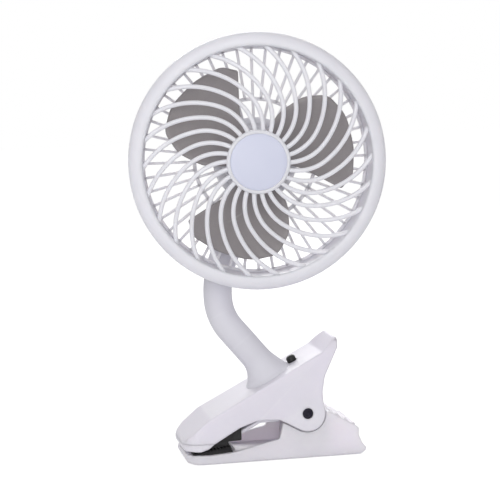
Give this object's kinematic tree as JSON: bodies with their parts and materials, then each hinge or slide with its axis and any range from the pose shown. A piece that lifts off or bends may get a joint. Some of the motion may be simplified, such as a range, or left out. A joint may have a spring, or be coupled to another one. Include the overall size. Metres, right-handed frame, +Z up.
{
  "type": "clip fan",
  "caption": "Small caged fan with soft blades on a bendable neck, held by a sprung clip that also stands on a table.",
  "frame": {"origin": "on the surface the clip stands on, straight below the middle of the jaw pivot", "axes": "+Z up, -X towards the clip's nose, -Y the side the fan looks towards"},
  "size_m": [0.1099, 0.0447, 0.1839],
  "materials": {
    "white_guard": "satin moulded plastic, cool white",
    "cap_plastic": "smooth, slightly blue white",
    "white_housing": "satin moulded plastic, white",
    "neck_sleeve": "soft matt sleeve, off-white",
    "foam": "soft matt foam, warm grey",
    "hub_plastic": "satin, white",
    "motor_metal": "plain, stands in for a steel can with air inside",
    "motor_plastic": "matt black",
    "screw_steel": "zinc plated",
    "shaft_steel": "ground",
    "grip_rubber": "matt black, ribbed across",
    "pin_black": "black oxide",
    "spring_steel": "drawn wire",
    "button_plastic": "black, slightly glossy",
    "switch_plastic": "matt black",
    "cell_sleeve": "plain sleeve over a metal can",
    "contact_metal": "nickel plated"
  },
  "bodies": {
    "lower_clip": {"lower_jaw": "white_housing", "lower_pad": "grip_rubber", "pivot_pin": "pin_black", "jaw_spring": "spring_steel"},
    "upper_clip": {"upper_jaw": "white_housing", "battery_cover": "white_housing", "cover_screw": "screw_steel", "cell_left": "cell_sleeve", "cell_right": "cell_sleeve", "battery_contacts": "contact_metal", "contact_link": "contact_metal", "switch_body": "switch_plastic", "upper_pad": "grip_rubber", "neck_boot": "neck_sleeve"},
    "button": {"power_button": "button_plastic"},
    "neck_1": {"neck_link_1": "neck_sleeve"},
    "neck_2": {"neck_link_2": "neck_sleeve"},
    "neck_3": {"neck_link_3": "neck_sleeve"},
    "neck_4": {"neck_link_4": "neck_sleeve"},
    "head": {"neck_ferrule": "neck_sleeve", "motor_cover": "white_guard", "cover_screws": "screw_steel", "guard_ring": "white_guard", "rear_grille": "white_guard", "front_grille": "white_guard", "centre_cap": "cap_plastic", "motor_can": "motor_metal", "motor_end_cap": "motor_plastic", "motor_screws": "screw_steel"},
    "rotor": {"motor_shaft": "shaft_steel", "blade_hub": "hub_plastic", "blade_1": "foam", "blade_2": "foam", "blade_3": "foam"}
  },
  "joints": [
    {"name": "jaw_open", "type": "hinge", "parent": "lower_clip", "child": "upper_clip", "pos_m": [0, 0, 0.019], "axis": [0, 1, 0], "range_deg": [0, 28], "stiffness_Nm_per_rad": 0.5, "springref_deg": -40.11, "deforming": ["jaw_spring"]},
    {"name": "button_press", "type": "slide", "parent": "upper_clip", "child": "button", "axis": [0.4569, 0, -0.8895], "range_m": [0, 0.001], "stiffness_N_per_m": 300, "springref_m": -0.001},
    {"name": "neck_bend_1", "type": "hinge", "parent": "upper_clip", "child": "neck_1", "pos_m": [-0.0206, 0, 0.0442], "axis": [0, -1, 0], "range_deg": [-25, 25]},
    {"name": "neck_bend_2", "type": "hinge", "parent": "neck_1", "child": "neck_2", "pos_m": [-0.0293, 0.0026, 0.055], "axis": [0.7786, 0, 0.6275], "range_deg": [-25, 25]},
    {"name": "neck_bend_3", "type": "hinge", "parent": "neck_2", "child": "neck_3", "pos_m": [-0.0337, 0.0076, 0.067], "axis": [0.0095, 0.943, -0.3328], "range_deg": [-25, 25]},
    {"name": "neck_bend_4", "type": "hinge", "parent": "neck_3", "child": "neck_4", "pos_m": [-0.0322, 0.0109, 0.0795], "axis": [-0.9662, 0, 0.2578], "range_deg": [-25, 25]},
    {"name": "neck_bend_5", "type": "hinge", "parent": "neck_4", "child": "head", "pos_m": [-0.0252, 0.0116, 0.094], "axis": [-0.0492, -0.9966, -0.0665], "range_deg": [-25, 25]},
    {"name": "fan_spin", "type": "hinge", "parent": "head", "child": "rotor", "pos_m": [-0.0177, -0.012, 0.1289], "axis": [-0.1045, -0.9945, 0], "continuous": true}
  ]
}
